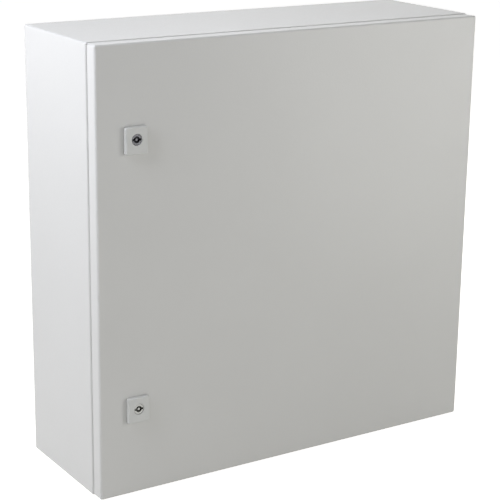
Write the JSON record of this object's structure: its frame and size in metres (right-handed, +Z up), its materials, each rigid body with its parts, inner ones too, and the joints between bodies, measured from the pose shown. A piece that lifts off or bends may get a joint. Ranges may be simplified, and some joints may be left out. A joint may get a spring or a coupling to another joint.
{
  "type": "steel wall enclosure",
  "caption": "Square shallow steel wall box with a rain channel, a tray door on concealed hinges, key-turned cam locks, a mounting plate inside and a gland plate in its floor.",
  "frame": {"origin": "centre of the rear face, on the wall, in the middle of the four wall holes", "axes": "+X right as the front is seen, +Y back into the wall, +Z up; the door faces -Y"},
  "size_m": [0.6, 0.2063, 0.6],
  "materials": {
    "body_paint": "light grey powder coat with a fine orange-peel texture",
    "door_paint": "light grey powder coat with a fine orange-peel texture",
    "lock_paint": "light grey paint on a zinc casting",
    "upper_insert": "bare zinc casting, dulled",
    "lower_insert": "bare zinc casting, bright",
    "galvanised": "hot-dip galvanised sheet with a spangle",
    "zinc_casting": "zinc die casting",
    "zinc_plate": "zinc-plated steel",
    "foam": "dark closed-cell foam",
    "rubber": "black rubber"
  },
  "bodies": {
    "enclosure": {"wall_left": "body_paint", "wall_right": "body_paint", "wall_top": "body_paint", "wall_bottom": "body_paint", "channel_left": "body_paint", "channel_right": "body_paint", "channel_top": "body_paint", "channel_bottom": "body_paint", "rear_panel": "body_paint", "gland_plate": "body_paint", "mounting_plate": "galvanised", "hinge_arm_upper": "zinc_casting", "hinge_arm_lower": "zinc_casting", "plate_studs": "zinc_plate", "plate_washers": "zinc_plate", "plate_nuts": "zinc_plate", "gland_studs": "zinc_plate", "gland_nuts": "zinc_plate", "body_earth_stud": "zinc_plate", "body_earth_nut": "zinc_plate", "hinge_nut_plate_upper": "zinc_plate", "hinge_nut_plate_lower": "zinc_plate", "hinge_screws": "zinc_plate", "gland_seal": "foam"},
    "door": {"door_panel": "door_paint", "lock_housing_upper": "lock_paint", "lock_housing_lower": "lock_paint", "door_rail_left": "galvanised", "door_rail_right": "galvanised", "lock_nut_upper": "zinc_casting", "lock_nut_lower": "zinc_casting", "door_earth_stud": "zinc_plate", "door_earth_nut": "zinc_plate", "hinge_leaf_upper": "zinc_plate", "hinge_leaf_lower": "zinc_plate", "hinge_pin_upper": "zinc_plate", "hinge_pin_lower": "zinc_plate", "door_bead": "foam", "lock_seal_upper": "rubber", "lock_seal_lower": "rubber"},
    "upper_lock": {"lock_insert_upper": "upper_insert", "lock_cam_upper": "zinc_plate", "lock_cam_screw_upper": "zinc_plate"},
    "lower_lock": {"lock_insert_lower": "lower_insert", "lock_cam_lower": "zinc_plate", "lock_cam_screw_lower": "zinc_plate"}
  },
  "joints": [
    {"name": "door_hinge", "type": "hinge", "parent": "enclosure", "child": "door", "pos_m": [0.2935, -0.19, 0], "axis": [0, 0, 1], "range_deg": [0, 120]},
    {"name": "upper_lock_turn", "type": "hinge", "parent": "door", "child": "upper_lock", "pos_m": [-0.24487, -0.19, 0.179], "axis": [0, 1, 0], "range_deg": [0, 90]},
    {"name": "lower_lock_turn", "type": "hinge", "parent": "door", "child": "lower_lock", "pos_m": [-0.24487, -0.19, -0.179], "axis": [0, 1, 0], "range_deg": [0, 90]}
  ]
}
